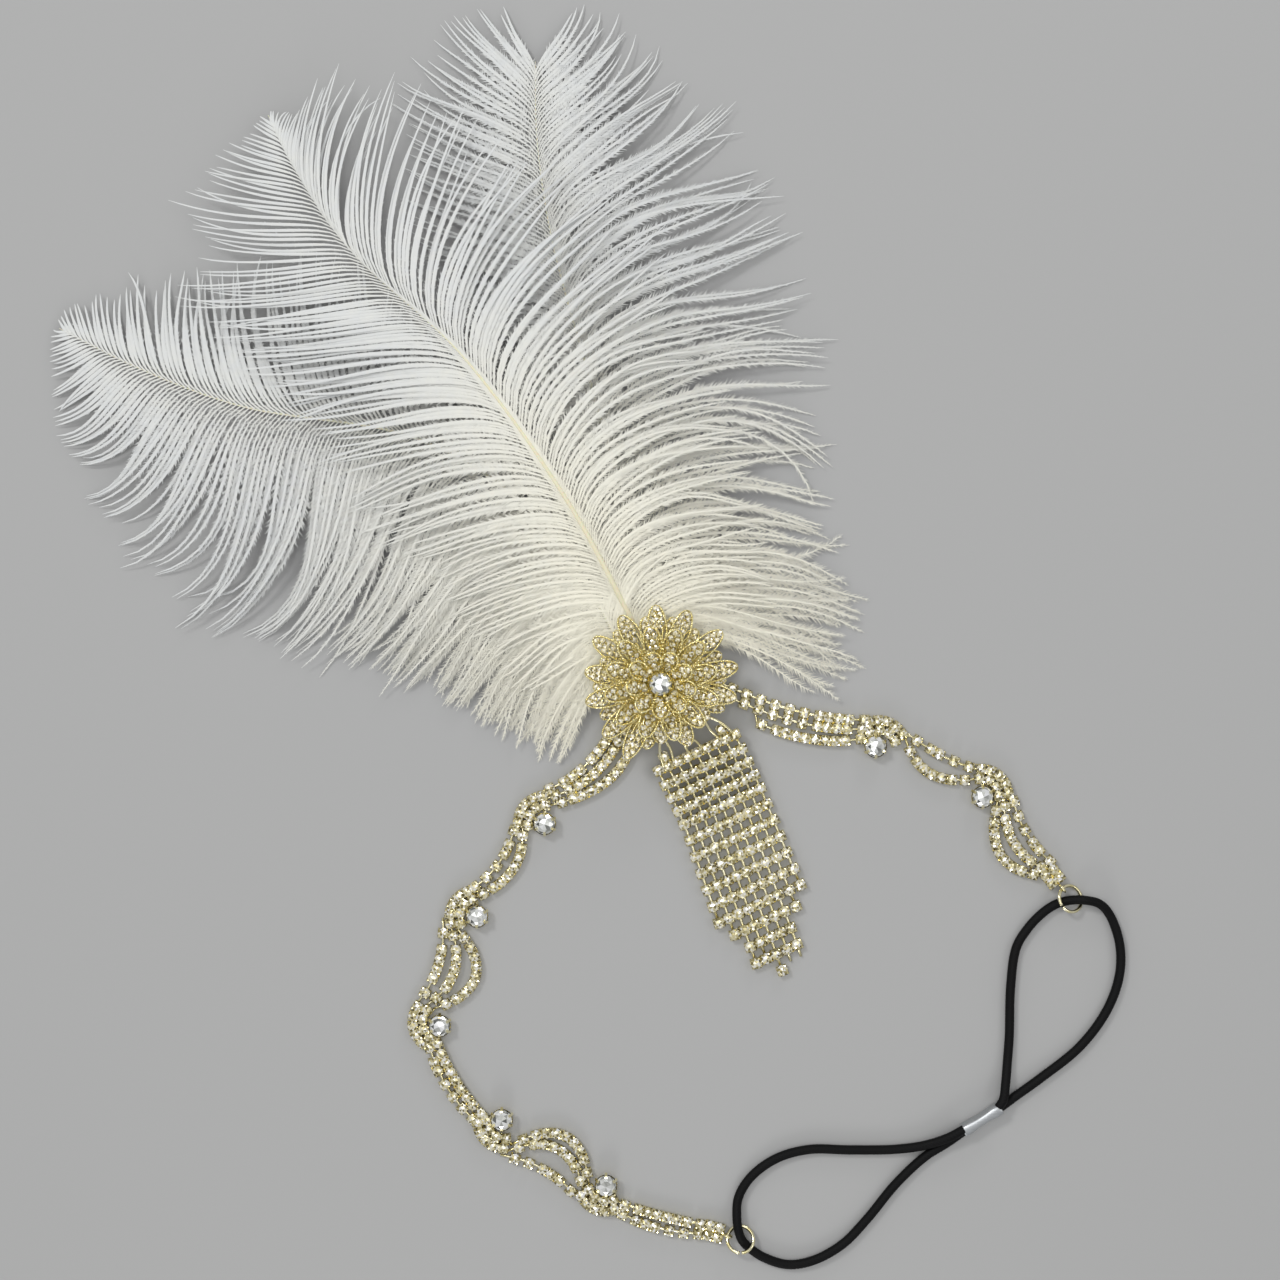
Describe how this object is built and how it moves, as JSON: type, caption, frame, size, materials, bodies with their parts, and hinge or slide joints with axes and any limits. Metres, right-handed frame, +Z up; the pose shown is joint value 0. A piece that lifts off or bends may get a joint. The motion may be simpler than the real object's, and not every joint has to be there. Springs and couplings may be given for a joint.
{
  "type": "feather headpiece",
  "caption": "Headpiece of ostrich plumes behind a stone-set flower brooch, with a stone tassel and a scalloped stone-chain head band closed by an elastic cord.",
  "frame": {"origin": "middle of the brooch's back plate, on the surface that the headpiece lies on", "axes": "+Z up out of the brooch's face, +Y towards the plumes' tips, +X towards the short side of the band"},
  "size_m": [0.3246, 0.3739, 0.0178],
  "materials": {
    "feather": "bleached ostrich barbs, soft and matt",
    "gilt": "bright pale gilt",
    "crystal": "cut clear stone with foil behind",
    "elastic": "black braided elastic",
    "crimp": "pressed satin metal"
  },
  "bodies": {
    "root": {"plume_left": "feather", "plume_middle": "feather", "plume_right": "feather", "brooch_back_plate": "gilt", "brooch_petals_outer": "gilt", "brooch_petals_middle": "gilt", "brooch_petals_inner": "gilt", "brooch_centre_stone": "crystal", "tassel_bar": "gilt", "tassel_strand_1": "gilt", "tassel_strand_2": "gilt", "tassel_strand_3": "gilt", "tassel_strand_4": "gilt", "tassel_strand_5": "gilt", "tassel_strand_6": "gilt", "tassel_strand_7": "gilt", "tassel_strand_8": "gilt", "tassel_strand_9": "gilt", "band_left_1": "gilt", "band_left_2": "gilt", "band_left_3": "gilt", "band_left_4": "gilt", "band_left_5": "gilt", "band_left_6": "gilt", "band_right_1": "gilt", "band_right_2": "gilt", "band_right_3": "gilt", "band_stone_left_1": "crystal", "band_stone_left_2": "crystal", "band_stone_left_3": "crystal", "band_stone_left_4": "crystal", "band_stone_left_5": "crystal", "band_stone_right_1": "crystal", "band_stone_right_2": "crystal", "jump_ring_left": "gilt", "jump_ring_right": "gilt", "elastic_loop_left": "elastic", "elastic_loop_right": "elastic", "elastic_crimp": "crimp"}
  },
  "joints": []
}
